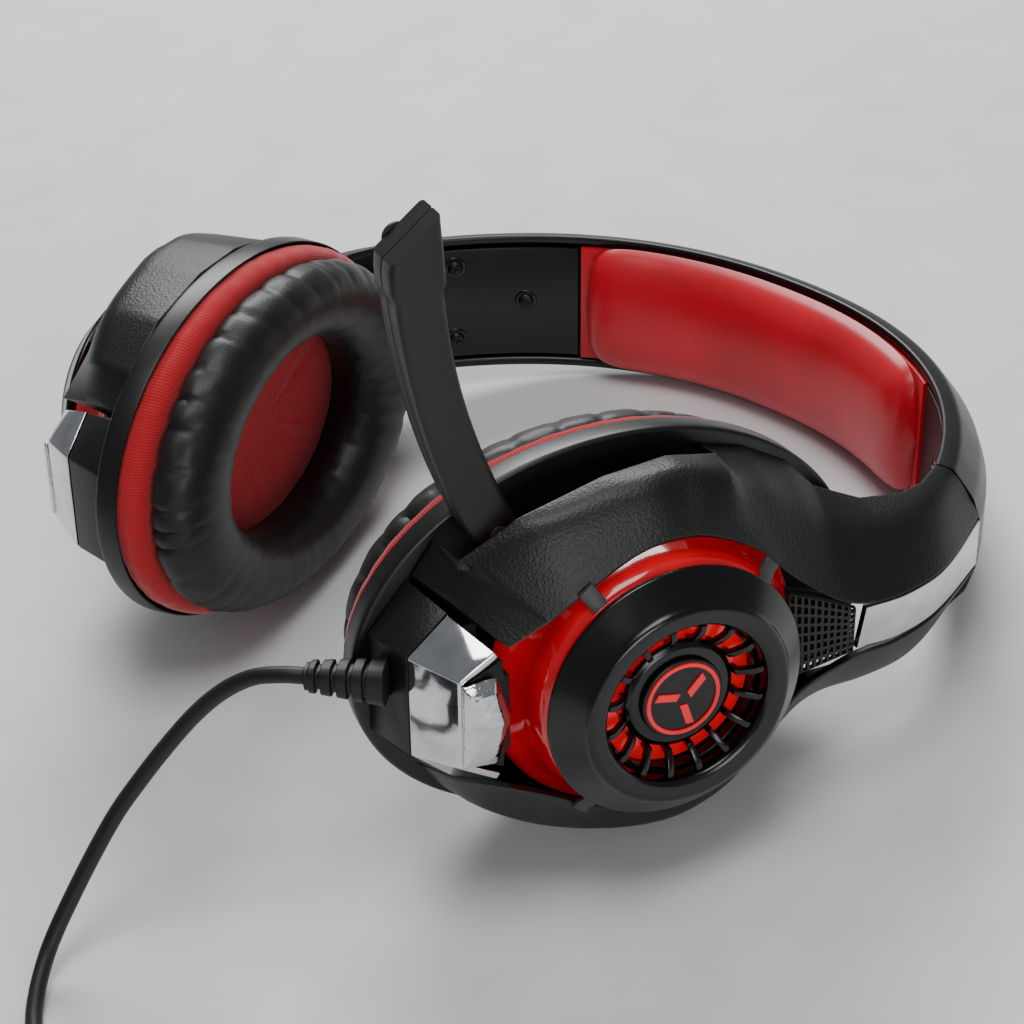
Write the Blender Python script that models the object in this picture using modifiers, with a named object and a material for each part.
"""Gaming headset lying on its back: a padded headband, two sliding arms with ear cups, a swivelling
microphone boom, and a cable with an in-line remote and two plugs.

Three frames are used. The arch frame has x out of the left cup, y towards the crown and z towards the
face. Each cup frame has u towards the crown, v towards the face and h out of the cup. The floor frame is
the world: the arch leans until the cups and the crown both touch z = 0. Sizes are in millimetres."""

import math

import bmesh
import bpy
from mathutils import Matrix, Vector

MM = 0.001
GAP = 0.35  # left between pieces that touch

# Headband: a superellipse rim curve, with depths measured outwards from it
RIM_HALF_WIDTH = 107.5
RIM_HEIGHT = 133.0
RIM_POWER = 2.2
JOINT_ANGLE = 34.0  # where the sliding arms meet the band
PAD_ANGLE = 58.0
BAND_FRONT = 16.6
BAND_REAR = -22.0
BAND_OUT = 6.4
BAND_IN = -4.6
BAND_WALL = 2.3
COVER_THICK = 1.8
PAD_THICK = 8.6
ARCH_STEPS = 20

# Ear cups
CUP_SPACING = 118.0  # between the middles of the two cup plates
CUP_TOE = 19.2  # the cups close in towards the chin
CUSHION_HALF = 40.6  # front to back
CUP_OVAL = 1.33  # crown to chin, times front to back
CUSHION_DEPTH = 18.4
PLATE_LOW = 2.2
PLATE_HIGH = 4.7
DOME_RADIUS = 28.2
DOME_LIP_RADIUS = 20.2
DOME_BASE = 33.5
DOME_TOP = 40.6
RECESS_RADIUS = 17.4
FIN_COUNT = 16
LIGHT_RADIUS = 29.1
LIGHT_BASE_RADIUS = 34.4
FAIRING_WALL = 2.2

# Sliders
SLIDE_TRAVEL = 28.0
TONGUE_WIDE = 11.0
TONGUE_THICK = 1.5
TONGUE_KEPT = 9.0  # still inside the band when the arm is fully out
TONGUE_HELD = 9.0  # inside the arm

# Microphone boom, which turns in the slot beside the cup plate
BOOM_PIVOT = (-29.5, 33.0)
BOOM_LENGTH = 71.0
BOOM_BEND = 28.5
BOOM_START_ANGLE = 116.5
BOOM_LOW = 5.3
BOOM_HIGH = 14.8
BOOM_WIDTH = 9.8
PIN_RADIUS = 2.2
PIN_CLEARANCE = 0.25

# Cable
BOOT_BASE = (-53.4, 4.8, 13.2)  # in the cup frame, inside the chin
BOOT_AIM = Vector((-13.5, -0.4, -9.5)).normalized()
BOOT_RADIUS = 4.8
CORD = 3.6
BRANCH_CORD = 2.8
BOOT_LENGTH = 16.5
COIL_RADIUS = 20.0  # middle of the turns
COIL_WIDE = 14.4
COIL_HIGH = 11.0
COIL_CENTRE = (17.8, -272.0)
REMOTE_START = (44.0, -199.0)
REMOTE_SIZE = (16.0, 50.0, 10.0)
REMOTE_BASE = 0.2  # above the floor
REMOTE_MIDDLE = REMOTE_BASE + REMOTE_SIZE[2] / 2
WHEEL_RADIUS = 6.6
WHEEL_THICK = 3.0

LEAN = 9.85  # the crown is lower than the cups by this angle

PARTS_NAME = "gaming_headset"


# ---------------------------------------------------------------- scene and materials
def clear_scene():
    for obj in list(bpy.data.objects):
        bpy.data.objects.remove(obj, do_unlink=True)


def new_collection(name, hidden=False):
    group = bpy.data.collections.new(name)
    bpy.context.scene.collection.children.link(group)
    group.hide_render = hidden
    return group


def material(name, colour, roughness, metallic=0.0):
    mat = bpy.data.materials.new(name)
    mat.use_nodes = True
    shader = mat.node_tree.nodes["Principled BSDF"]
    shader.inputs["Base Color"].default_value = (*colour, 1.0)
    shader.inputs["Roughness"].default_value = roughness
    shader.inputs["Metallic"].default_value = metallic
    return mat


clear_scene()
PARTS = new_collection(PARTS_NAME)
CUTTERS = new_collection("cutters", hidden=True)

GRAIN_BLACK = material("grained_black_plastic", (0.012, 0.012, 0.013), 0.45)
SATIN_BLACK = material("satin_black_plastic", (0.010, 0.010, 0.011), 0.35)
GLOSS_BLACK = material("gloss_black_plastic", (0.006, 0.006, 0.007), 0.12)
RED_PLASTIC = material("red_translucent_plastic", (0.62, 0.004, 0.006), 0.2)
RED_CLOTH = material("red_cloth", (0.55, 0.012, 0.02), 0.85)
RED_LEATHER = material("red_leatherette", (0.5, 0.008, 0.016), 0.4)
BLACK_LEATHER = material("black_leatherette", (0.012, 0.012, 0.013), 0.5)
CHROME = material("chrome_plate", (0.85, 0.85, 0.86), 0.06, 1.0)
STEEL = material("spring_steel", (0.42, 0.42, 0.43), 0.35, 1.0)
BOARD = material("circuit_board", (0.02, 0.12, 0.05), 0.5)
MAGNET = material("driver_metal", (0.3, 0.3, 0.31), 0.4, 1.0)
CORD_BLACK = material("cable_jacket", (0.014, 0.014, 0.015), 0.5)


# ---------------------------------------------------------------- frames
def frame(name, matrix, parent=None):
    empty = bpy.data.objects.new(name, None)
    PARTS.objects.link(empty)
    empty.parent = parent
    empty.matrix_local = matrix
    return empty


def turn(axis, degrees):
    return Matrix.Rotation(math.radians(degrees), 4, axis)


# In the cup frame x is u, y is v and z is h.
CUP_IN_ARCH = Matrix.Translation((CUP_SPACING / 2 * MM, 0, 0)) @ Matrix(
    (
        (math.sin(math.radians(CUP_TOE)), 0, math.cos(math.radians(CUP_TOE)), 0),
        (math.cos(math.radians(CUP_TOE)), 0, -math.sin(math.radians(CUP_TOE)), 0),
        (0, 1, 0, 0),
        (0, 0, 0, 1),
    )
)

LYING = frame("lying_frame", turn("X", -LEAN))
SIDES = {
    "left": frame("left_side", Matrix.Identity(4), LYING),
    "right": frame("right_side", Matrix.Diagonal((-1, 1, 1, 1)), LYING),
}
CUPS = {side: frame(side + "_cup", CUP_IN_ARCH, SIDES[side]) for side in SIDES}


def arch_to_cup(point):
    """A point of the arch frame, in millimetres, as (u, v, h) of the left cup."""
    local = CUP_IN_ARCH.inverted() @ (Vector(point) * MM)
    return tuple(local / MM)


# ---------------------------------------------------------------- building helpers
def place(name, data, mat, parent, group=None):
    obj = bpy.data.objects.new(name, data)
    (group or PARTS).objects.link(obj)
    obj.parent = parent
    if mat:
        data.materials.append(mat)
    if group is CUTTERS:
        obj.hide_render = True
        obj.display_type = "WIRE"
    return obj


def loft(name, rings, mat, parent, group=None, closed_loop=False):
    """A skin over rings of equal count, capped at its two ends, or joined end to end."""
    mesh = bpy.data.meshes.new(name)
    work = bmesh.new()
    rows = [[work.verts.new(Vector(p) * MM) for p in ring] for ring in rings]
    pairs = list(zip(rows, rows[1:]))
    if closed_loop:
        pairs.append((rows[-1], rows[0]))
    for low, high in pairs:
        for k, corner in enumerate(low):
            after = (k + 1) % len(low)
            work.faces.new((corner, low[after], high[after], high[k]))
    if not closed_loop:
        work.faces.new(rows[0])
        work.faces.new(rows[-1])
    bmesh.ops.recalc_face_normals(work, faces=work.faces)
    work.to_mesh(mesh)
    work.free()
    return place(name, mesh, mat, parent, group)


def turned(name, profile, mat, parent, steps=32, oval=1.0, ring=True, group=None):
    """A profile of (radius, height) turned about the frame's third axis. A ring's profile is closed."""
    area = sum(a[0] * b[1] - b[0] * a[1] for a, b in zip(profile, profile[1:] + profile[:1]))
    ordered = list(profile) if area < 0 else list(reversed(profile))
    mesh = bpy.data.meshes.new(name)
    verts = [(r * MM, 0, z * MM) for r, z in ordered]
    edges = [(k, k + 1) for k in range(len(verts) - 1)]
    if ring:
        edges.append((len(verts) - 1, 0))
    mesh.from_pydata(verts, edges, [])
    obj = place(name, mesh, mat, parent, group)
    screw = obj.modifiers.new("turn", "SCREW")
    screw.axis = "Z"
    screw.steps = steps
    screw.render_steps = steps
    screw.use_merge_vertices = True
    screw.merge_threshold = 0.00001
    obj.scale = (oval, 1, 1)
    return obj


def solid_disc(name, profile, mat, parent, steps=32, oval=1.0):
    """A turned piece with no hole: its profile starts and ends on the axis, top first."""
    return turned(name, profile, mat, parent, steps, oval, ring=False)


def flat_plate(name, outlines, thick, height, mat, parent):
    """Closed outlines filled as a plate, the inner ones as holes, centred on a height."""
    curve = bpy.data.curves.new(name, "CURVE")
    curve.dimensions = "2D"
    curve.fill_mode = "BOTH"
    curve.extrude = thick / 2 * MM
    for outline in outlines:
        spline = curve.splines.new("POLY")
        spline.points.add(len(outline) - 1)
        for point, (x, y) in zip(spline.points, outline):
            point.co = (x * MM, y * MM, 0, 1)
        spline.use_cyclic_u = True
    obj = place(name, curve, mat, parent)
    obj.location = (0, 0, height * MM)
    return obj


def tube(name, points, diameter, mat, sides=2):
    """A round cord through points of the floor frame."""
    curve = bpy.data.curves.new(name, "CURVE")
    curve.dimensions = "3D"
    curve.bevel_depth = diameter / 2 * MM
    curve.bevel_resolution = sides
    curve.use_fill_caps = True
    spline = curve.splines.new("POLY")
    spline.points.add(len(points) - 1)
    for target, point in zip(spline.points, points):
        target.co = (*(Vector(point) * MM), 1)
    return place(name, curve, mat, None)


def as_mesh(obj):
    """The same object as a welded mesh, so that it can join a Boolean."""
    graph = bpy.context.evaluated_depsgraph_get()
    mesh = bpy.data.meshes.new_from_object(obj.evaluated_get(graph))
    work = bmesh.new()
    work.from_mesh(mesh)
    bmesh.ops.remove_doubles(work, verts=work.verts, dist=0.00001)
    bmesh.ops.recalc_face_normals(work, faces=work.faces)
    work.to_mesh(mesh)
    work.free()
    name, parent, world = obj.name, obj.parent, obj.matrix_world.copy()
    group = obj.users_collection[0]
    bpy.data.objects.remove(obj, do_unlink=True)
    made = bpy.data.objects.new(name, mesh)
    group.objects.link(made)
    made.parent = parent
    made.matrix_world = world
    return made


def combine(obj, other, operation):
    step = obj.modifiers.new(operation.lower(), "BOOLEAN")
    step.operation = operation
    step.object = other
    step.solver = "EXACT"


def drum(name, radius, low, high, at, parent, sides=20, mat=None, group=None):
    """A cylinder along the frame's third axis."""
    ring = [(radius * math.cos(t), radius * math.sin(t)) for t in
            (2 * math.pi * k / sides for k in range(sides))]
    rings = [[(at[0] + x, at[1] + y, z) for x, y in ring] for z in (low, high)]
    return loft(name, rings, mat, parent, group)


def smooth_curve(points, per_span):
    """Points along a Catmull-Rom curve through the route's own points."""
    points = [Vector(p) for p in points]
    ends = [2 * points[0] - points[1]] + points + [2 * points[-1] - points[-2]]
    found = []
    for a, b, c, d in zip(ends, ends[1:], ends[2:], ends[3:]):
        for k in range(per_span):
            t = k / per_span
            found.append(0.5 * (2 * b + (c - a) * t + (2 * a - 5 * b + 4 * c - d) * t * t
                                + (3 * b - 3 * c + d - a) * t ** 3))
    return found + [points[-1]]


# ---------------------------------------------------------------- headband
def rim(angle):
    """A point of the rim curve and its outward normal."""
    t = math.radians(angle)
    c, s = math.cos(t), math.sin(t)
    power = 2 / RIM_POWER
    x = RIM_HALF_WIDTH * math.copysign(abs(c) ** power, c)
    y = RIM_HEIGHT * abs(s) ** power
    normal = Vector((math.copysign(abs(x / RIM_HALF_WIDTH) ** (RIM_POWER - 1), x) / RIM_HALF_WIDTH,
                     (y / RIM_HEIGHT) ** (RIM_POWER - 1) / RIM_HEIGHT))
    return Vector((x, y)), normal.normalized()


def band_point(angle, out, z, along=0.0):
    """A point at a depth outwards from the rim, moved along the band towards the crown."""
    at, normal = rim(angle)
    ahead = Vector((-normal.y, normal.x))
    flat = at + normal * out + ahead * along
    return (flat.x, flat.y, z)


def band_strip(name, section, first, last, steps, mat, parent):
    rings = []
    for k in range(steps + 1):
        angle = first + (last - first) * k / steps
        rings.append([band_point(angle, out, z) for out, z in section])
    return loft(name, rings, mat, parent)


MIDDLE = (BAND_FRONT + BAND_REAR) / 2


def band_section():
    """The outer shell's section: a ridged outside and a wall of one thickness, open towards the head."""
    front, rear, out = BAND_FRONT, BAND_REAR, BAND_OUT
    outside = [(BAND_IN, front), (0, front - 1), (out - 1.9, front - 7.4), (out, front - 12.9),
               (out, rear + 14), (out - 1.9, rear + 7.5), (0, rear + 1), (BAND_IN, rear)]
    wall = BAND_WALL
    inside = [(BAND_IN, rear + wall), (-0.8, rear + wall + 0.9), (out - 4.0, rear + wall + 6.4),
              (out - wall, rear + 14.6), (out - wall, front - 13.5),
              (out - 4.0, front - wall - 6.4), (-0.8, front - wall - 0.9), (BAND_IN, front - wall)]
    return outside + inside


def cover_section(low=BAND_IN + 0.2, thick=COVER_THICK):
    """A flat closing panel between the shell's two walls."""
    front = BAND_FRONT - BAND_WALL - 0.9 - GAP
    rear = BAND_REAR + BAND_WALL + 0.9 + GAP
    return [(low, rear), (low, front), (low + thick, front), (low + thick, rear)]


def build_band():
    band_strip("band_outer_shell", band_section(), JOINT_ANGLE, 180 - JOINT_ANGLE, ARCH_STEPS,
               SATIN_BLACK, LYING)
    band_strip("pad_base", cover_section(), PAD_ANGLE + 0.4, 180 - PAD_ANGLE - 0.4, 12,
               RED_LEATHER, LYING)
    band_strip("band_spring", [(0.6, -9), (0.6, 3), (1.4, 3), (1.4, -9)], PAD_ANGLE + 3,
               180 - PAD_ANGLE - 3, 12, STEEL, LYING)
    build_head_pad()


def build_head_pad():
    """The pad is lowest at its ends and bulges towards the head in the middle."""
    back = BAND_IN - 0.2
    steps = 14
    rings = []
    for k in range(steps + 1):
        share = k / steps
        angle = PAD_ANGLE + 1.2 + (180 - 2 * PAD_ANGLE - 2.4) * share
        full = (1 - abs(2 * share - 1) ** 5) * 0.72 + 0.28
        thick = PAD_THICK * full
        half = (BAND_FRONT - BAND_REAR) / 2 - 2.0 - 3.0 * (1 - full)
        section = [(back, -half), (back, half), (back - thick * 0.45, half - 0.6),
                   (back - thick * 0.85, half - 4.5), (back - thick, half - 10),
                   (back - thick, 10 - half), (back - thick * 0.85, 4.5 - half),
                   (back - thick * 0.45, 0.6 - half)]
        rings.append([band_point(angle, out, MIDDLE + z) for out, z in section])
    loft("head_pad", rings, RED_LEATHER, LYING)


def build_band_end(side):
    """The panel that closes the slider's housing, and its three screws on one nut plate."""
    first, last = JOINT_ANGLE + 0.3, PAD_ANGLE - 0.3
    parent = SIDES[side]
    cover = band_strip(side + "_slider_cover", cover_section(), first, last, 8, SATIN_BLACK, parent)
    inner = BAND_IN + 0.2
    nut_low = inner + COVER_THICK + GAP
    plate = band_strip(side + "_cover_screws", [(nut_low, -16), (nut_low, 11),
                       (nut_low + 0.8, 11), (nut_low + 0.8, -16)], 38, 52, 5, STEEL, parent)
    places = ((40.0, 8.0), (40.0, -13.0), (50.0, -2.5))
    for number, (angle, z) in enumerate(places):
        at, normal = rim(angle)
        out = normal.to_3d()
        axis = out.to_track_quat("Z", "Y").to_matrix().to_4x4()
        origin = (at + normal * (inner - GAP)).to_3d()
        origin.z = z
        socket = Matrix.Translation(origin * MM) @ axis
        head = drum(f"{side}_head_{number}", 2.0, -0.9, 0.0, (0, 0), parent, 12, None, CUTTERS)
        shank = drum(f"{side}_shank_{number}", 0.95, -0.3, COVER_THICK + 2.5 * GAP, (0, 0), parent,
                     10, None, CUTTERS)
        hole = drum(f"{side}_hole_{number}", 1.3, -1.5, COVER_THICK + 1.5, (0, 0), parent, 10, None,
                    CUTTERS)
        for tool in (head, shank, hole):
            tool.matrix_local = socket
        combine(plate, head, "UNION")
        combine(plate, shank, "UNION")
        combine(cover, hole, "DIFFERENCE")


# ---------------------------------------------------------------- cup pieces turned about the ear axis
def build_cup_core(side):
    cup = CUPS[side]
    half = CUSHION_HALF
    name = side + "_"
    rim_radius = half + 2.9
    turned(name + "cup_plate",
           [(half - 17, PLATE_LOW), (rim_radius - 0.4, PLATE_LOW), (rim_radius, PLATE_LOW + 1.2),
            (rim_radius - 0.4, PLATE_HIGH), (half - 17, PLATE_HIGH)],
           SATIN_BLACK, cup, 36, CUP_OVAL)
    turned(name + "fabric_ring",
           [(half - 3.7, PLATE_LOW - 0.5), (half + 0.5, PLATE_LOW - 0.5), (half + 1.5, -1.2),
            (half + 1.2, -4.2), (half - 0.3, -6.2), (half - 3.7, -6.2)],
           RED_CLOTH, cup, 36, CUP_OVAL)
    low = -CUSHION_DEPTH
    turned(name + "ear_cushion",
           [(half - 15.6, -2.3), (half - 4.2, -2.3), (half - 4.2, -6.6), (half - 0.7, -6.6),
            (half, -9.8), (half - 1.5, low + 4.2), (half - 5, low + 1.1), (half - 9.4, low),
            (half - 14, low + 1.2), (half - 17, low + 4.8), (half - 18, -9), (half - 17.2, -5)],
           BLACK_LEATHER, cup, 36, CUP_OVAL)
    solid_disc(name + "ear_cloth",
               [(0, -0.6), (half - 15, -1.0), (half - 14.6, -1.9), (0, -1.5)],
               RED_CLOTH, cup, 28, CUP_OVAL)
    solid_disc(name + "driver",
               [(0, 15), (13.5, 15), (13.5, 9.5), (19.5, 6.4), (22.6, 4.4), (22.6, 2.5), (0, 2.5)],
               MAGNET, cup, 24)
    base, ring = LIGHT_BASE_RADIUS, LIGHT_RADIUS
    turned(name + "light_ring",
           [(base, PLATE_HIGH + GAP), (base, 19), (base - 0.8, 20.4), (ring + 1.6, 21.8),
            (ring, 24.5), (ring, 29), (ring - 0.8, 31.8), (ring - 2.2, 32.8), (ring - 4.2, 32.8),
            (ring - 4.2, 24), (base - 4.4, 20), (base - 2.4, 17.5), (base - 2.4, PLATE_HIGH + GAP)],
           RED_PLASTIC, cup, 40)
    turned(name + "led_board", [(11, 29.6), (ring - 4.6, 29.6), (ring - 4.6, 31), (11, 31)],
           BOARD, cup, 28)
    lip = DOME_LIP_RADIUS
    turned(name + "dome_cover",
           [(RECESS_RADIUS + 0.6, DOME_BASE), (DOME_RADIUS - 0.3, DOME_BASE),
            (DOME_RADIUS, DOME_BASE + 0.9), (lip + 4.2, DOME_TOP - 2.5), (lip + 0.9, DOME_TOP - 0.3),
            (lip - 0.9, DOME_TOP), (RECESS_RADIUS, DOME_TOP - 1), (RECESS_RADIUS, DOME_BASE + 0.8)],
           GLOSS_BLACK, cup, 48)
    build_fin_grille(side)
    solid_disc(name + "hub_badge", [(0, 37.6), (8.4, 37.6), (9, 37.1), (9, 36.2), (0, 36.2)],
               GLOSS_BLACK, cup, 24)


def circle(radius, count, turned_by=0.0):
    return [(radius * math.cos(turned_by + 2 * math.pi * k / count),
             radius * math.sin(turned_by + 2 * math.pi * k / count)) for k in range(count)]


def build_fin_grille(side):
    """A hub carried by radial fins inside the dome's recess: a disc with one window between each pair."""
    outer = RECESS_RADIUS - GAP
    pitch = 2 * math.pi / FIN_COUNT
    windows = []
    for k in range(FIN_COUNT):
        middle = k * pitch
        near, far = 0.32 * pitch, 0.40 * pitch
        windows.append([(10.6 * math.cos(middle - near), 10.6 * math.sin(middle - near)),
                        (10.6 * math.cos(middle + near), 10.6 * math.sin(middle + near)),
                        (15.6 * math.cos(middle + far), 15.6 * math.sin(middle + far)),
                        (15.9 * math.cos(middle), 15.9 * math.sin(middle)),
                        (15.6 * math.cos(middle - far), 15.6 * math.sin(middle - far))])
    flat_plate(side + "_fin_grille", [circle(outer, 32)] + windows, 2.0, 34.8, GLOSS_BLACK, CUPS[side])


# ---------------------------------------------------------------- chin block and chrome
CHIN_STATIONS = (  # height, crown-side corner, chin-side corner
    (PLATE_HIGH + GAP, (-45.3, 21.8), (-54.2, 11.5)),
    (16.2, (-41.6, 19.4), (-50.4, 11.6)),
)
CHROME_TOP = (27.2, (-36.0, 15.0), (-43.8, 10.2))
CHROME_WALL = 1.6


def chin_corners(crown, chin, inset=0.0):
    """The block's four outer corners, moved inwards by an inset."""
    (cu, cv), (nu, nv) = crown, chin
    cu, cv, nu, nv = cu + inset * 0.6, cv - inset * 0.9, nu + inset, nv - inset * 0.4
    return [(cu, cv), (nu, nv), (nu, -nv), (cu, -cv)]


def chin_outline(crown, chin, inner_u, inset=0.0):
    """The whole block: behind its outer corners it narrows, so that the fairings' ends lie over it."""
    corners = chin_corners(crown, chin, inset)
    step_u = corners[0][0] + GAP
    step_v = corners[0][1] - FAIRING_WALL - 5 * GAP
    return corners + [(step_u, -step_v), (inner_u, -step_v), (inner_u, step_v), (step_u, step_v)]


def boot_frame():
    """At the strain relief's inner end, with the third axis back into the cup."""
    look = (-BOOT_AIM).to_track_quat("Z", "Y").to_matrix().to_4x4()
    return Matrix.Translation(Vector(BOOT_BASE) * MM) @ look


def build_chin(side):
    cup = CUPS[side]
    (low, low_crown, low_chin), (high, high_crown, high_chin) = CHIN_STATIONS
    top, top_crown, top_chin = CHROME_TOP
    keep = CHROME_WALL + 3 * GAP
    inner_low, inner_top = -LIGHT_BASE_RADIUS - 0.9, -LIGHT_RADIUS - 2.0
    sections = ((low, low_crown, low_chin, inner_low, 0), (high, high_crown, high_chin, inner_low, 0),
                (high, high_crown, high_chin, inner_low - 0.6, keep),
                (top - 0.6, top_crown, top_chin, inner_top - 1.8, keep))
    rings = []
    for height, crown, chin, inner, inset in sections:
        rings.append([(u, v, height) for u, v in chin_outline(crown, chin, inner, inset)])
    block = loft(side + "_chin_block", rings, GRAIN_BLACK, cup)
    if side == "left":
        socket = drum("boot_socket", BOOT_RADIUS + GAP, -9.0, GAP, (0, 0), cup, 24, None, CUTTERS)
        socket.matrix_local = boot_frame()
        combine(block, socket, "DIFFERENCE")
    rings = []
    for height, crown, chin in ((high + GAP, high_crown, high_chin), (top, top_crown, top_chin)):
        outside = chin_corners(crown, chin)
        inside = chin_corners(crown, chin, CHROME_WALL)
        rings.append([(u, v, height) for u, v in outside + inside[::-1]])
    loft(side + "_chrome_bumper", rings, CHROME, cup)
    tip = [(-43.6, 9.4), (-36.4, 10.2), (-33.4, 0), (-36.4, -10.2), (-43.6, -9.4)]
    crest = [(-41.6, 6.4), (-37.4, 7.0), (-35.6, 0), (-37.4, -7.0), (-41.6, -6.4)]
    loft(side + "_bumper_tip", [[(u, v, top + GAP) for u, v in tip],
         [(u, v, top + 1.4) for u, v in tip], [(u, v, top + 2.6) for u, v in crest]], CHROME, cup)


# ---------------------------------------------------------------- fairings, which carry on as the arms
RIDGE_MIDDLE = -1.5
RIDGE_BESIDE = 1.0  # of the tongue's edges
RIDGE_FRONT = RIDGE_MIDDLE + TONGUE_WIDE / 2 + RIDGE_BESIDE
RIDGE_REAR = RIDGE_MIDDLE - TONGUE_WIDE / 2 - RIDGE_BESIDE
JOINT_PULL = -0.6  # how far short of the band the arm ends
ARM_FROM, ARM_TO = 40.0, 70.0  # along u, where the arm starts to follow the joint and where it does so fully
JOINT_DRAWN = (84.4568, 0.0, 4.1070)  # the joint in the cup frame, when the stations were drawn


def joint_section(front):
    """The arm's last section, on the band's own end section and a gap short of it."""
    side, ridge, inwards = (BAND_FRONT, RIDGE_FRONT, -1) if front else (BAND_REAR, RIDGE_REAR, 1)
    points = ((BAND_IN, side), (0, side + inwards), (BAND_OUT, ridge), (BAND_OUT - FAIRING_WALL, ridge),
              (-0.8, side + inwards * 3.2), (BAND_IN, side + inwards * FAIRING_WALL))
    return [arch_to_cup(band_point(JOINT_ANGLE, out, z, JOINT_PULL)) for out, z in points]


# Each station: the edge towards the head, the crest, and the edge towards the light ring, as (u, v, h).
FRONT_STATIONS = [
    ((-44.5, 22.9, 5.1), (-39.9, 20.9, 17.0), (-33.9, 16.5, 29.4)),
    ((-39.6, 29.6, 5.1), (-37.0, 28.2, 17.0), (-26.0, 20.2, 30.1)),
    ((-38.9, 30.4, 15.8), (-36.0, 29.4, 18.4), (-25.4, 20.5, 30.1)),
    ((-26.8, 38.0, 17.6), (-24.0, 37.0, 22.0), (-18.2, 24.6, 30.2)),
    ((-8.7, 42.8, 17.4), (-8.0, 41.5, 23.6), (-6.0, 30.5, 29.8)),
    ((6.0, 43.3, 15.9), (6.5, 42.5, 24.2), (4.6, 31.5, 29.8)),
    ((17.4, 41.0, 15.6), (17.6, 39.6, 23.5), (13.5, 28.8, 30.0)),
    ((19.8, 37.4, 5.1), (20.4, 36.6, 21.0), (20.5, 24.7, 30.2)),
    ((30.0, 34.6, 5.1), (29.0, 30.8, 19.4), (27.4, 17.8, 30.4)),
    ((40.8, 28.6, 5.1), (38.0, 24.2, 18.4), (33.8, 12.4, 30.6)),
    ((45.6, 23.2, 8.0), (44.0, 19.4, 19.0), (40.0, 8.2, 30.9)),
    ((55.8, 19.0, 10.4), (53.6, 17.2, 20.0), (47.2, RIDGE_FRONT + 0.4, 30.2)),
    ((66.0, 17.6, 10.2), (64.6, 16.2, 17.8), (57.2, RIDGE_FRONT + 0.1, 29.2)),
    ((73.2, 17.0, 7.4), (73.8, 15.8, 13.0), (70.0, RIDGE_FRONT, 24.0)),
]
SLOT_STATIONS = range(2, 7)
REAR_STATIONS = [
    ((-44.5, -22.9, 5.1), (-39.9, -20.9, 17.0), (-33.9, -16.5, 29.4)),
    ((-39.6, -29.6, 5.1), (-36.0, -28.6, 18.0), (-26.0, -20.2, 30.1)),
    ((-26.8, -36.4, 5.1), (-24.0, -35.4, 21.0), (-18.2, -24.6, 30.2)),
    ((-9.0, -40.8, 5.1), (-8.0, -40.2, 23.0), (-6.0, -30.5, 29.8)),
    ((6.0, -41.2, 5.1), (6.0, -41.0, 24.0), (4.6, -31.5, 29.8)),
    ((19.8, -38.6, 5.1), (19.0, -37.6, 22.6), (15.5, -28.2, 29.6)),
    ((30.0, -34.6, 5.1), (29.0, -30.8, 20.4), (25.4, -20.6, 28.6)),
    ((40.8, -28.6, 5.1), (38.0, -25.2, 18.4), (34.0, -15.0, 26.4)),
    ((45.6, -26.0, 8.0), (44.4, -23.6, 17.6), (40.6, -12.0, 26.2)),
    ((55.8, -24.0, 10.4), (54.0, -22.4, 18.6), (48.0, RIDGE_REAR - 0.8, 27.0)),
    ((66.0, -23.0, 10.2), (65.0, -21.8, 16.8), (57.2, RIDGE_REAR - 0.1, 26.8)),
    ((73.2, -22.4, 7.4), (73.8, -21.2, 12.4), (70.0, RIDGE_REAR, 21.8)),
]


def fairing_section(edge, crest, brow, sign):
    """The three outer points, then the same three a wall's thickness inwards."""
    slope = FAIRING_WALL * 0.72
    inner_brow = (brow[0], brow[1], brow[2] - FAIRING_WALL)
    inner_crest = (crest[0], crest[1] - sign * slope, crest[2] - slope)
    inner_edge = (edge[0], edge[1] - sign * FAIRING_WALL, edge[2])
    return [edge, crest, brow, inner_brow, inner_crest, inner_edge]


def without_slot(stations):
    """The same stations with the microphone's slot closed, for the cup that has no boom."""
    low = stations[0][0][2]
    return [((edge[0], edge[1], low), crest, brow) if number in SLOT_STATIONS else (edge, crest, brow)
            for number, (edge, crest, brow) in enumerate(stations)]


def with_joint(points):
    """Points drawn for the standing sizes. Those of the arm move with the joint, the more the nearer."""
    moved = Vector(arch_to_cup(band_point(JOINT_ANGLE, 0, 0))) - Vector(JOINT_DRAWN)
    placed = []
    for point in points:
        share = min(1.0, max(0.0, (point[0] - ARM_FROM) / (ARM_TO - ARM_FROM)))
        placed.append(tuple(Vector(point) + moved * share))
    return placed


def build_fairings(side):
    cup = CUPS[side]
    front = FRONT_STATIONS if side == "left" else without_slot(FRONT_STATIONS)
    for name, stations, sign in (("front", front, 1), ("rear", REAR_STATIONS, -1)):
        rings = [fairing_section(*with_joint(station), sign) for station in stations]
        rings.append(joint_section(sign > 0))
        loft(f"{side}_{name}_fairing", rings, GRAIN_BLACK, cup)


def build_trim(side):
    """The chrome strip along the arm's ridge, between the two fairings."""
    top, bottom = RIDGE_FRONT - 2 * GAP, RIDGE_REAR + 2 * GAP
    path = [(47.0, 29.4, 26.8), (57.2, 28.6, 26.4), (70.0, 23.6, 21.6)]
    thick = 1.6
    rings = []
    for u, front, rear in path:
        rings.append(with_joint([(u, top, front), (u, bottom, rear), (u, bottom, rear - thick),
                                 (u, top, front - thick)]))
    end = ((BAND_OUT, top), (BAND_OUT, bottom), (BAND_OUT - thick, bottom), (BAND_OUT - thick, top))
    rings.append([arch_to_cup(band_point(JOINT_ANGLE, out, z, JOINT_PULL)) for out, z in end])
    loft(side + "_arm_trim", rings, CHROME, CUPS[side])


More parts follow.
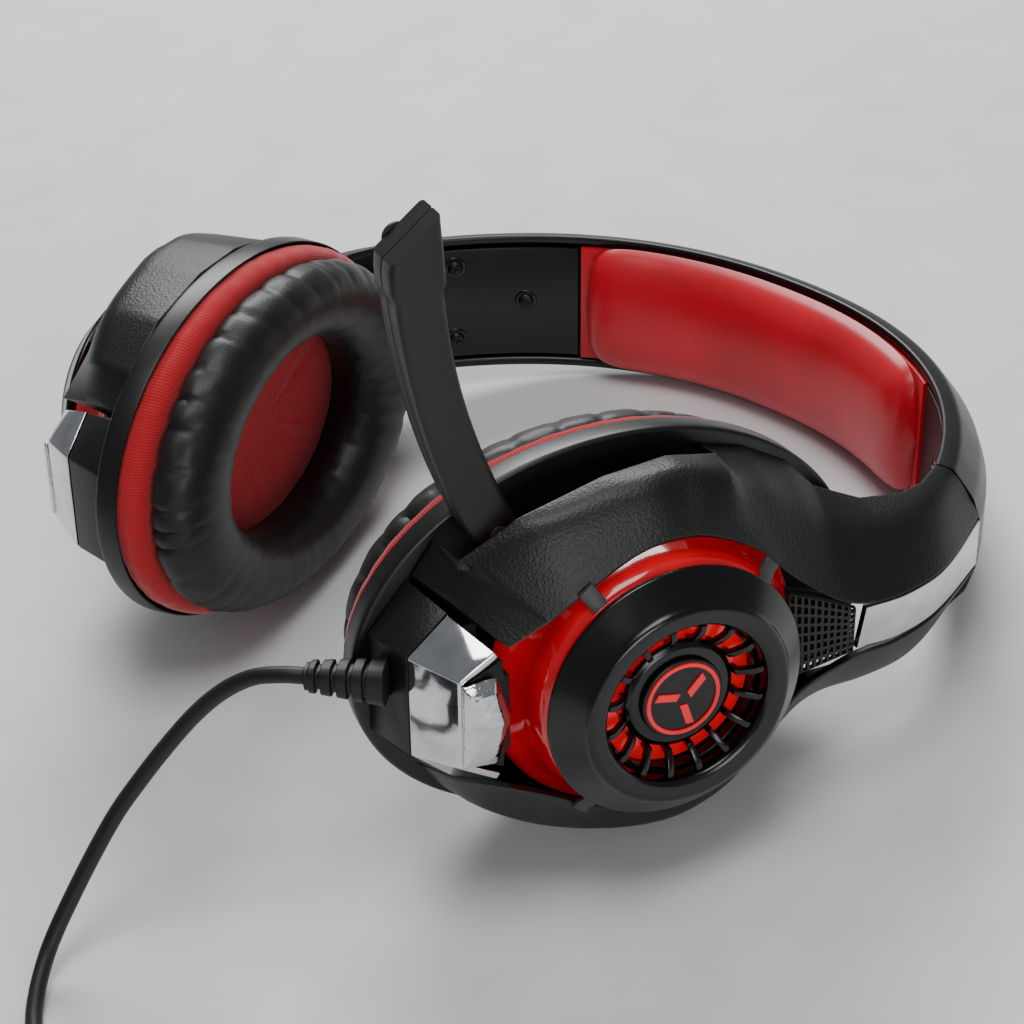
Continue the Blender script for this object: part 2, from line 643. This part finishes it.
def build_mesh_grille(side):
    """A slanted vent panel between the dome and the chrome strip, with rows of windows."""
    front, rear, near, far = 5.2, -8.6, 31.4, 46.2
    outline = [(near, 9.0), (38.5, 7.4), (far, 3.6), (far, -7.0), (39.5, -9.6), (near + 1, -12.0)]
    windows = []
    for row in range(4):
        for column in range(4):
            v = rear + 2.2 + row * 3.1
            u = near + 2.0 + column * 3.2 + row * 0.35
            if u + 2 < far - 0.8 and v + 2 < front:
                windows.append([(u, v), (u + 2.1, v), (u + 2.6, v + 1.9), (u + 0.5, v + 1.9)])
    obj = flat_plate(side + "_mesh_grille", [outline] + windows, 1.2, 0, SATIN_BLACK, CUPS[side])
    slant = turn("Y", -13.0)
    obj.matrix_local = Matrix.Translation((near * MM, 0, 23.2 * MM)) @ slant @ Matrix.Translation(
        (-near * MM, 0, 0))


def slide_direction():
    """Along the chord of the band's hollow that the tongue lies on, towards the crown."""
    start = Vector(band_point(JOINT_ANGLE, 1.0, 0))
    reach = SLIDE_TRAVEL + TONGUE_KEPT
    angles = [JOINT_ANGLE + k / 4 for k in range(int(4 * (PAD_ANGLE - JOINT_ANGLE)))]
    ends = [Vector(band_point(angle, 2.3, 0)) for angle in angles]
    far = min(ends, key=lambda end: abs((end - start).length - reach))
    return start, (far - start).normalized()


def build_tongue(side):
    """A steel strip fixed in the arm, which slides inside the band's end."""
    start, ahead = slide_direction()
    across = Vector((ahead.y, -ahead.x, 0))
    z = (RIDGE_FRONT + RIDGE_REAR) / 2
    rings = []
    for along in (-TONGUE_HELD, SLIDE_TRAVEL + TONGUE_KEPT):
        rings.append([start + ahead * along + across * a * TONGUE_THICK / 2
                      + Vector((0, 0, z + b * TONGUE_WIDE / 2))
                      for a, b in ((-1, -1), (-1, 1), (1, 1), (1, -1))])
    loft(side + "_slider_tongue", rings, STEEL, SIDES[side])


# ---------------------------------------------------------------- microphone
def boom_centre(share):
    """A point of the boom's centre line and its heading, in the cup plane."""
    first = math.radians(BOOM_START_ANGLE)
    now = first - math.radians(BOOM_BEND) * share
    radius = BOOM_LENGTH / math.radians(BOOM_BEND)
    at = Vector(BOOM_PIVOT) + radius * Vector((math.sin(first) - math.sin(now),
                                               math.cos(now) - math.cos(first)))
    return at, Vector((math.cos(now), math.sin(now)))


def build_boom():
    cup = CUPS["left"]
    middle = (BOOM_LOW + BOOM_HIGH) / 2
    stations = ((-0.09, 0.45, 0), (-0.055, 0.82, 0), (0.0, 1.0, 0), (0.2, 1.0, 0), (0.4, 0.98, 0),
                (0.6, 0.98, 0), (0.78, 1.0, 0), (0.80, 1.14, 0), (0.9, 1.12, 0), (1.0, 1.0, -8.5))
    halves = {"inner": (BOOM_LOW, middle - GAP / 2), "outer": (middle + GAP / 2, BOOM_HIGH)}
    bore = drum("boom_bore", PIN_RADIUS + PIN_CLEARANCE, 0, 22, BOOM_PIVOT, cup, 24, None, CUTTERS)
    for name, (low, high) in halves.items():
        rings = []
        for share, width, left_back in stations:
            at, ahead = boom_centre(share)
            left = Vector((-ahead.y, ahead.x))
            half = BOOM_WIDTH / 2 * width
            edge = 1.2 if name == "outer" else 0.0
            a = at + left * half + ahead * left_back
            b = at - left * half
            a_in, b_in = a - left * edge, b + left * edge
            if name == "outer":
                ring = [(*a, low), (*b, low), (*b, high - 1.2), (*b_in, high), (*a_in, high),
                        (*a, high - 1.2)]
            else:
                ring = [(*a, low), (*b, low), (*b, high), (*a, high)]
            rings.append(ring)
        shell = loft("boom_" + name + "_shell", rings, SATIN_BLACK, cup)
        combine(shell, bore, "DIFFERENCE")
    drum("boom_pivot_pin", PIN_RADIUS, PLATE_HIGH + GAP, BOOM_HIGH + 0.8, BOOM_PIVOT, cup, 24, STEEL)
    tip, _ = boom_centre(0.9)
    drum("mic_capsule", 3.0, BOOM_LOW - 1.6, BOOM_LOW - GAP, tip, cup, 20, SATIN_BLACK)


# ---------------------------------------------------------------- cable and what is on it
# Route of the cable in the floor frame, from the boot's end to the remote
ROUTE = [
    (36.6, -102.2, 59.2), (31.0, -105.6, 58.0), (25.4, -109.6, 54.4), (20.6, -114.4, 49.3),
    (16.6, -120.2, 43.0), (13.4, -127.2, 36.2), (10.6, -134.8, 28.6), (7.8, -146.0, 15.8),
    (8.6, -156.8, 6.2), (16.0, -166.6, 2.2), (27.0, -173.6, 2.2), (37.0, -180.4, 3.2),
    (42.8, -189.0, 4.8),
]
USB_ROUTE = [(-5.6, -235.6, 3.0), (-5.4, -226.0, 1.8), (-9.0, -212.5, 1.6), (-23.0, -204.0, 1.6),
             (-39.0, -208.0, 1.6), (-48.0, -221.0, 1.8), (-49.5, -233.0, 3.6)]
AUDIO_ROUTE = [(-10.8, -235.6, 3.0), (-11.6, -227.5, 1.8), (-18.0, -217.6, 1.6),
               (-27.0, -219.5, 1.6), (-31.0, -230.0, 1.8), (-31.4, -241.0, 3.6)]
PER_SPAN = 3  # points of a lead's curve between two of its route's


def build_boot():
    """The ribbed strain relief, turned about its own axis and pushed into the chin."""
    profile = [(0, 0), (2.1, 0)]
    rib, groove = 3.3, 2.5
    count = 4
    pitch = (BOOT_LENGTH - 3.4) / count
    for k in range(count):
        base = 0.4 + k * pitch
        swell = 0.28 * k
        profile += [(groove + swell, base), (groove + swell, base + pitch * 0.4),
                    (rib + swell, base + pitch * 0.45), (rib + swell, base + pitch * 0.95)]
    profile += [(BOOT_RADIUS - 0.2, BOOT_LENGTH - 3.0), (BOOT_RADIUS, BOOT_LENGTH), (0, BOOT_LENGTH)]
    profile = [(r, z - BOOT_LENGTH) for r, z in reversed(profile)]
    boot = solid_disc("strain_relief", profile, CORD_BLACK, CUPS["left"], 16)
    boot.matrix_local = boot_frame()


def build_cable():
    """The cable starts at the strain relief's end, so it is made once the headset lies on the floor."""
    end = Vector(BOOT_BASE) + BOOT_AIM * (BOOT_LENGTH + GAP)
    start = CUPS["left"].matrix_world @ (end * MM) / MM
    remote_end = (REMOTE_START[0], REMOTE_START[1] + GAP, REMOTE_MIDDLE)
    tube("cable", smooth_curve([start, *ROUTE, remote_end], 2), CORD, CORD_BLACK)
    build_remote()
    build_coil()
    tube("usb_lead", smooth_curve(USB_ROUTE, PER_SPAN), BRANCH_CORD, CORD_BLACK)
    tube("audio_lead", smooth_curve(AUDIO_ROUTE, PER_SPAN), BRANCH_CORD, CORD_BLACK)
    build_plugs()


def block(name, low, high, mat, group=None, chamfer=0.0):
    """A box between two corners of the floor frame, with its long edges taken off."""
    (x0, y0, z0), (x1, y1, z1) = low, high
    c = chamfer
    if c:
        section = [(x0 + c, z0), (x1 - c, z0), (x1, z0 + c), (x1, z1 - c), (x1 - c, z1),
                   (x0 + c, z1), (x0, z1 - c), (x0, z0 + c)]
    else:
        section = [(x0, z0), (x1, z0), (x1, z1), (x0, z1)]
    return loft(name, [[(x, y, z) for x, z in section] for y in (y0, y1)], mat, None, group)


def build_remote():
    """The in-line remote lies along -y, with a thumbwheel in one side and a slide switch on top."""
    wide, long, high = REMOTE_SIZE
    x, y = REMOTE_START
    top = REMOTE_BASE + high
    body = block("remote_body", (x - wide / 2, y - long, REMOTE_BASE), (x + wide / 2, y, top),
                 SATIN_BLACK, chamfer=2.0)
    wheel_at = (x + wide / 2 - WHEEL_RADIUS + 1.8, y - 17.0)
    low, high = REMOTE_MIDDLE - WHEEL_THICK / 2, REMOTE_MIDDLE + WHEEL_THICK / 2
    seat = turned("wheel_seat", [(1.2, low - GAP), (WHEEL_RADIUS + 0.5, low - GAP),
                                 (WHEEL_RADIUS + 0.5, high + GAP), (1.2, high + GAP)],
                  None, None, 24, group=CUTTERS)
    wheel = turned("volume_wheel", [(1.55, low), (WHEEL_RADIUS, low), (WHEEL_RADIUS, high), (1.55, high)],
                   SATIN_BLACK, None, 24)
    for piece in (seat, wheel):
        piece.location = (wheel_at[0] * MM, wheel_at[1] * MM, 0)
    slot = block("switch_slot", (x - 2.3, y - 40.4, top - 1.7), (x + 2.3, y - 31.6, top + 2), None,
                 CUTTERS)
    block("mute_switch", (x - 1.9, y - 40.0, top - 1.35), (x + 1.9, y - 35.0, top + 1.1), SATIN_BLACK)
    combine(body, seat, "DIFFERENCE")
    combine(body, slot, "DIFFERENCE")


def build_coil():
    """The coil's outer shape: a turned ring, with the stubs by which the cable enters and leaves."""
    cx, cy = COIL_CENTRE
    low, high = COIL_RADIUS - COIL_WIDE / 2, COIL_RADIUS + COIL_WIDE / 2
    ring = turned("cable_coil", [(low + 2, 0.1), (high - 2, 0.1), (high, 2.1), (high, COIL_HIGH - 2),
                                 (high - 2, COIL_HIGH), (low + 2, COIL_HIGH), (low, COIL_HIGH - 2),
                                 (low, 2.1)], CORD_BLACK, None, 28)
    ring.location = (cx * MM, cy * MM, 0)
    outer_turn = high - CORD / 2
    remote_low = REMOTE_START[1] - REMOTE_SIZE[1]
    inlet = tube("coil_inlet", [(REMOTE_START[0], remote_low - GAP, REMOTE_MIDDLE),
                                (cx + outer_turn, cy + 4, REMOTE_MIDDLE)], CORD, None)
    outlet = tube("coil_outlet", [(cx - outer_turn, cy + 4, 3.0), (YOKE_AT[0], YOKE_AT[1] - GAP, 3.0)],
                  CORD, None)
    for stub in (inlet, outlet):
        piece = as_mesh(stub)
        PARTS.objects.unlink(piece)
        CUTTERS.objects.link(piece)
        piece.hide_render = True
        piece.display_type = "WIRE"
        combine(ring, piece, "UNION")


YOKE_AT = (-8.2, -252.0)
YOKE_LENGTH = 16.0


def build_plugs():
    x, y = YOKE_AT
    wide, high = 5.4, 5.4
    base = 0.3
    loft("cable_yoke", [[(x - a, y + t, base + 0.6), (x + a, y + t, base + 0.6),
                         (x + a, y + t, base + high), (x - a, y + t, base + high)]
                        for a, t in ((3.2, 0), (wide, YOKE_LENGTH * 0.6), (wide, YOKE_LENGTH))],
         CORD_BLACK, None)
    ux, uy, uz = USB_ROUTE[-1]
    usb = block("usb_plug", (ux - 7.8, uy - GAP - 24, 0.2), (ux + 7.8, uy - GAP, 7.6), CORD_BLACK,
                chamfer=1.6)
    shell = block("usb_shell", (ux - 6, uy - 38, 1.6), (ux + 6, uy - 20, 6.1), None, CUTTERS)
    combine(usb, shell, "UNION")
    ax, ay, az = AUDIO_ROUTE[-1]
    plug = solid_disc("audio_plug",
                      [(0, 0), (2.2, 0), (3.5, 4), (3.5, 19), (2.4, 20.4), (1.75, 20.6), (1.75, 32),
                       (1.2, 33), (1.6, 34), (0, 35)][::-1], CORD_BLACK, None, 16)
    plug.matrix_local = Matrix.Translation((ax * MM, (ay - GAP) * MM, az * MM)) @ turn("X", 90)


# ---------------------------------------------------------------- standing height
CORD_PIECES = {"cable", "cable_coil", "remote_body", "volume_wheel", "mute_switch", "cable_yoke",
               "usb_lead", "audio_lead", "usb_plug", "audio_plug"}


def stand_on_floor():
    """Moves the lying frame until the headset is centred on the origin with its lowest point at z = 0."""
    bpy.context.view_layer.update()
    graph = bpy.context.evaluated_depsgraph_get()
    corners = []
    for obj in PARTS.objects:
        if obj.type == "EMPTY" or obj.name in CORD_PIECES:
            continue
        shape = obj.evaluated_get(graph)
        mesh = shape.to_mesh()
        corners += [shape.matrix_world @ v.co for v in mesh.vertices]
        shape.to_mesh_clear()
    low = Vector([min(c[k] for c in corners) for k in range(3)])
    high = Vector([max(c[k] for c in corners) for k in range(3)])
    middle = (low + high) / 2
    LYING.location -= Vector((middle.x, middle.y, low.z))
    bpy.context.view_layer.update()


def main():
    build_band()
    for side in SIDES:
        build_band_end(side)
        build_cup_core(side)
        build_chin(side)
        build_fairings(side)
        build_trim(side)
        build_mesh_grille(side)
        build_tongue(side)
    build_boom()
    build_boot()
    stand_on_floor()
    build_cable()
    for obj in PARTS.objects:
        if obj.type == "MESH" and obj.modifiers and obj.modifiers[0].type == "SCREW":
            obj.modifiers[0].use_smooth_shade = True


main()
